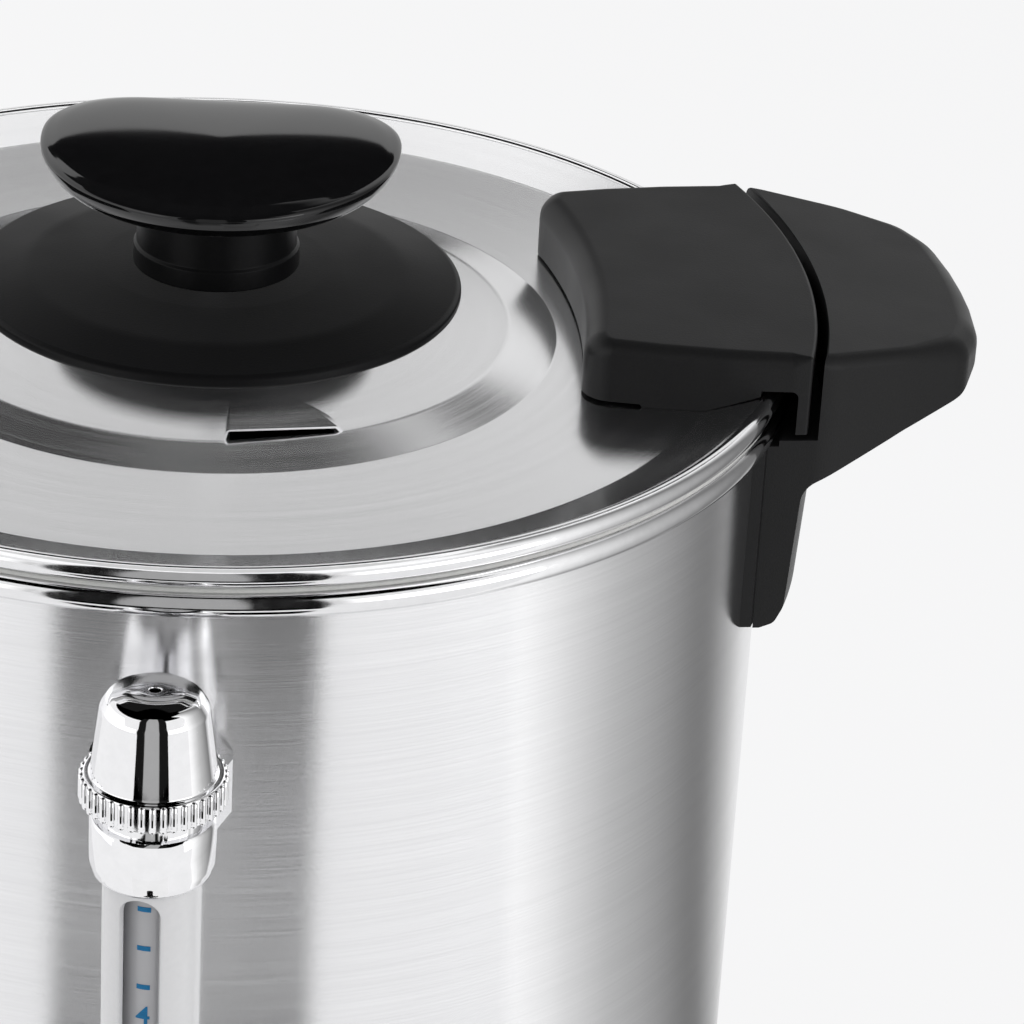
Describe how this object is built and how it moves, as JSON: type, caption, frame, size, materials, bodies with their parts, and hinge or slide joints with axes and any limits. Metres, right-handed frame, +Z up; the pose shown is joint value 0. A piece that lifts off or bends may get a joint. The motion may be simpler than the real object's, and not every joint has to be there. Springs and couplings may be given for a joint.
{
  "type": "hot water urn",
  "caption": "Round brushed-steel hot water urn on a heated base, with a lift-off lid, side handles, a sight gauge, a lever tap and a rocker switch.",
  "frame": {"origin": "centre of the urn's underside, on the surface it stands on", "axes": "+Z up, -Y towards the front with the gauge and the tap, +X to the right-hand handle of the picture"},
  "size_m": [0.2928, 0.3086, 0.3121],
  "materials": {
    "steel": "brushed",
    "hardware": "plated",
    "chrome": "polished",
    "black_matte": "fine texture",
    "black_gloss": "gloss",
    "black_rubber": "matt",
    "silicone": "satin",
    "aluminium": "as cast",
    "shield": "gloss",
    "glass": "clear",
    "lamp_red": "translucent",
    "lamp_green": "translucent",
    "ceramic": "matt",
    "wire": "satin"
  },
  "bodies": {
    "urn": {"pot_shell": "steel", "pot_floor": "steel", "heat_plate": "aluminium", "heater_coil": "hardware", "thermostat": "black_matte", "thermal_cutout": "ceramic", "tie_rod": "hardware", "tie_nut": "hardware", "wiring": "wire", "base_skirt": "black_matte", "base_plate": "steel", "feet": "black_rubber", "centre_foot": "black_rubber", "foot_screws": "hardware", "switch_frame": "black_matte", "lamp_heating": "lamp_red", "lamp_ready": "lamp_green", "power_inlet": "black_matte", "handle_right": "black_matte", "handle_left": "black_matte", "pad_right": "black_matte", "pad_left": "black_matte", "handle_screws": "hardware", "gauge_holder": "chrome", "gauge_screw": "hardware", "gauge_shield": "shield", "gauge_glass": "glass", "gauge_seals": "silicone", "tap_body": "chrome", "tap_washers": "silicone", "tap_nut": "chrome", "tap_bonnet": "chrome", "tap_pin": "hardware", "tap_spring": "hardware"},
    "lid": {"lid_plate": "steel", "lid_gasket": "silicone", "lock_right": "black_matte", "lock_left": "black_matte", "lock_screws": "hardware", "knob_base": "black_matte", "knob_grip": "black_gloss", "knob_screw": "hardware", "knob_washer": "hardware"},
    "gauge_cap": {"gauge_cap": "chrome"},
    "tap_lever": {"tap_lever": "black_gloss"},
    "tap_stem": {"tap_stem": "hardware", "tap_plug": "silicone"},
    "switch_rocker": {"switch_rocker": "black_gloss"}
  },
  "joints": [
    {"name": "lid_lift", "type": "slide", "parent": "urn", "child": "lid", "axis": [0, 0, 1], "range_m": [0, 0.12]},
    {"name": "gauge_cap_turn", "type": "hinge", "parent": "urn", "child": "gauge_cap", "pos_m": [0, -0.122, 0.25], "axis": [0, 0, 1], "range_deg": [0, 720]},
    {"name": "tap_lever_press", "type": "hinge", "parent": "urn", "child": "tap_lever", "pos_m": [0, -0.16, 0.134], "axis": [1, 0, 0], "range_deg": [0, 25], "stiffness_Nm_per_rad": 0.03, "springref_deg": -20.05},
    {"name": "tap_stem_lift", "type": "slide", "parent": "urn", "child": "tap_stem", "axis": [0, 0, 1], "range_m": [0, 0.00436], "deforming": ["tap_spring"]},
    {"name": "switch_rock", "type": "hinge", "parent": "urn", "child": "switch_rocker", "pos_m": [0, -0.113, 0.0321], "axis": [1, 0, 0], "range_deg": [-16, 0]}
  ],
  "couplings": [
    {"joint": "tap_lever_press", "follows": "tap_stem_lift", "rad_per_m": 100}
  ]
}
